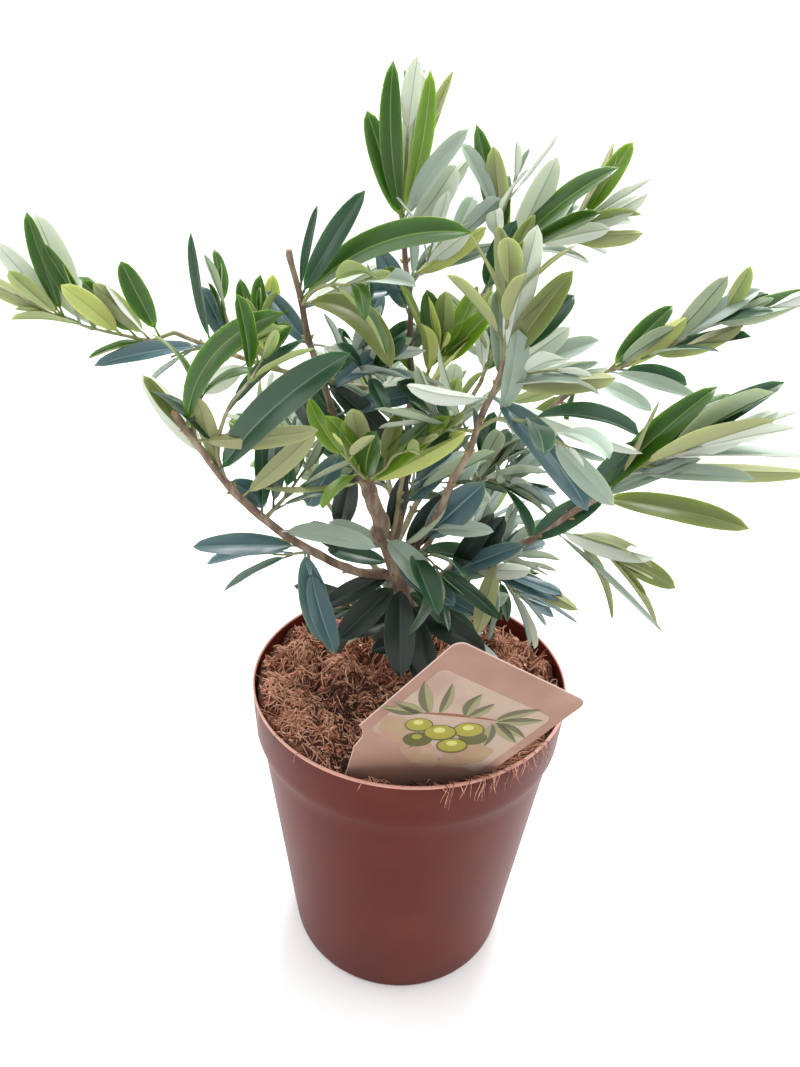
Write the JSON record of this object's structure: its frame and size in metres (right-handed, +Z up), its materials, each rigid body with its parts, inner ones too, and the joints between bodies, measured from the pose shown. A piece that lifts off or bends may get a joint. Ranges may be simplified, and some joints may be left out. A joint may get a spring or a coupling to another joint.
{
  "type": "potted olive tree",
  "caption": "Young pruned olive tree with a leaning trunk, open boughs and silvery sprays of narrow leaves, in a tapered plastic nursery pot with a plant card.",
  "frame": {"origin": "middle of the pot's flat underside", "axes": "+Z up, along the pot's axis; the plant card leans out of the pot's -Y side"},
  "size_m": [0.3027, 0.1817, 0.389],
  "materials": {
    "pot_plastic": "satin moulded terracotta-coloured plastic",
    "coir": "loose moist coconut fibre",
    "card_stock": "smooth printed plastic card",
    "bark": "young grey-brown bark",
    "foliage": "leathery leaves, green above and silver-grey below"
  },
  "bodies": {
    "root": {"pot": "pot_plastic", "soil": "coir", "label_card": "card_stock", "trunk": "bark", "bough_leader": "bark", "bough_left_low": "bark", "bough_left_mid": "bark", "bough_top": "bark", "bough_left_long": "bark", "bough_right_up": "bark", "bough_right_low": "bark", "bough_mid": "bark", "bough_right_back": "bark", "bough_back_mid": "bark", "bough_back_left": "bark", "bough_back_low": "bark", "bough_left_back": "bark", "foliage_left_tip": "foliage", "foliage_left_sprig": "foliage", "foliage_left_upright": "foliage", "foliage_left_drop": "foliage", "foliage_left_fan": "foliage", "foliage_left_arch": "foliage", "foliage_left_end": "foliage", "foliage_left_under": "foliage", "foliage_left_level": "foliage", "foliage_left_inner": "foliage", "foliage_leader_left": "foliage", "foliage_leader_right": "foliage", "foliage_leader_fall": "foliage", "foliage_mid_left_crown": "foliage", "foliage_mid_left_low": "foliage", "foliage_top_spray": "foliage", "foliage_top_side": "foliage", "foliage_mid_rosette": "foliage", "foliage_crown_mid": "foliage", "foliage_crown_right": "foliage", "foliage_right_up_top": "foliage", "foliage_right_up_side": "foliage", "foliage_right_up_fall": "foliage", "foliage_right_up_inner": "foliage", "foliage_right_back_top": "foliage", "foliage_far_right": "foliage", "foliage_right_tip": "foliage", "foliage_right_side": "foliage", "foliage_right_under": "foliage", "foliage_heart_right": "foliage", "foliage_heart_mid": "foliage", "foliage_skirt_left": "foliage", "foliage_skirt_right": "foliage", "foliage_skirt_back": "foliage", "foliage_back_left_end": "foliage", "foliage_back_left_side": "foliage", "foliage_back_mid_end": "foliage", "foliage_back_mid_side": "foliage", "foliage_back_low_end": "foliage", "foliage_back_low_side": "foliage", "foliage_left_back_end": "foliage"}
  },
  "joints": []
}
